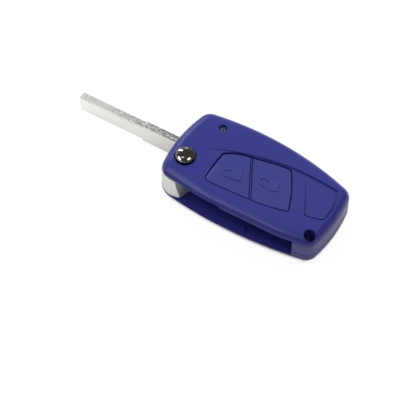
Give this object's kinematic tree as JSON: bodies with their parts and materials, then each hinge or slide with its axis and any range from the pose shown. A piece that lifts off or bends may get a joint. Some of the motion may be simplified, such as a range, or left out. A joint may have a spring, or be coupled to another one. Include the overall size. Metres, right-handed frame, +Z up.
{
  "type": "flip key remote shell",
  "caption": "Folding car key remote shell with blue two-part case, lock and unlock buttons, blade slot, chromed flip button, swing-out metal blade and battery tray",
  "frame": {"origin": "the flip axis of the blade at the underside of the case, on which the shell lies", "axes": "+Z up, away from the surface it lies on; +X along the case towards the keyring hole, so that the blade folded out points to -X; +Y towards the curved rear side, away from the blade slot"},
  "size_m": [0.1029, 0.0354, 0.016],
  "materials": {
    "case_plastic": "satin",
    "lower_case_plastic": "satin",
    "button_plastic": "satin",
    "unlock_button_plastic": "satin",
    "silicone": "matt",
    "lens_plastic": "gloss",
    "chrome_plate": "polished",
    "spring_steel": "bright",
    "die_cast_metal": "satin",
    "blade_steel": "ground",
    "pin_steel": "bright",
    "tray_plastic": "satin",
    "lock_plastic": "satin"
  },
  "bodies": {
    "case": {"upper_case": "case_plastic", "lower_case": "lower_case_plastic", "button_pad": "silicone", "led_lens": "lens_plastic"},
    "blade_unit": {"key_head": "die_cast_metal", "blade": "blade_steel", "blade_pin": "pin_steel", "flip_spring": "spring_steel"},
    "flip_button": {"flip_button": "chrome_plate"},
    "lock_button": {"lock_button": "button_plastic"},
    "unlock_button": {"unlock_button": "unlock_button_plastic"},
    "battery_tray": {"battery_tray": "tray_plastic"},
    "tray_lock": {"tray_lock": "lock_plastic"}
  },
  "joints": [
    {"name": "blade_flip", "type": "hinge", "parent": "case", "child": "blade_unit", "pos_m": [0, 0, 0.007], "axis": [0, 0, -1], "range_deg": [-180, 0], "stiffness_Nm_per_rad": 0.006},
    {"name": "flip_button_press", "type": "slide", "parent": "blade_unit", "child": "flip_button", "axis": [0, 0, -1], "range_m": [0, 0.0018], "stiffness_N_per_m": 2500, "deforming": ["flip_spring"]},
    {"name": "lock_press", "type": "slide", "parent": "case", "child": "lock_button", "axis": [0, 0, -1], "range_m": [0, 0.0005], "stiffness_N_per_m": 3000, "deforming": ["button_pad"]},
    {"name": "unlock_press", "type": "slide", "parent": "case", "child": "unlock_button", "axis": [0, 0, -1], "range_m": [0, 0.0005], "stiffness_N_per_m": 3000, "deforming": ["button_pad"]},
    {"name": "battery_tray_slide", "type": "slide", "parent": "case", "child": "battery_tray", "axis": [0, -1, 0], "range_m": [0, 0.02]},
    {"name": "tray_lock_turn", "type": "hinge", "parent": "battery_tray", "child": "tray_lock", "pos_m": [0.0216, -0.003, 0.00545], "axis": [0, -1, 0], "range_deg": [0, 90]}
  ]
}
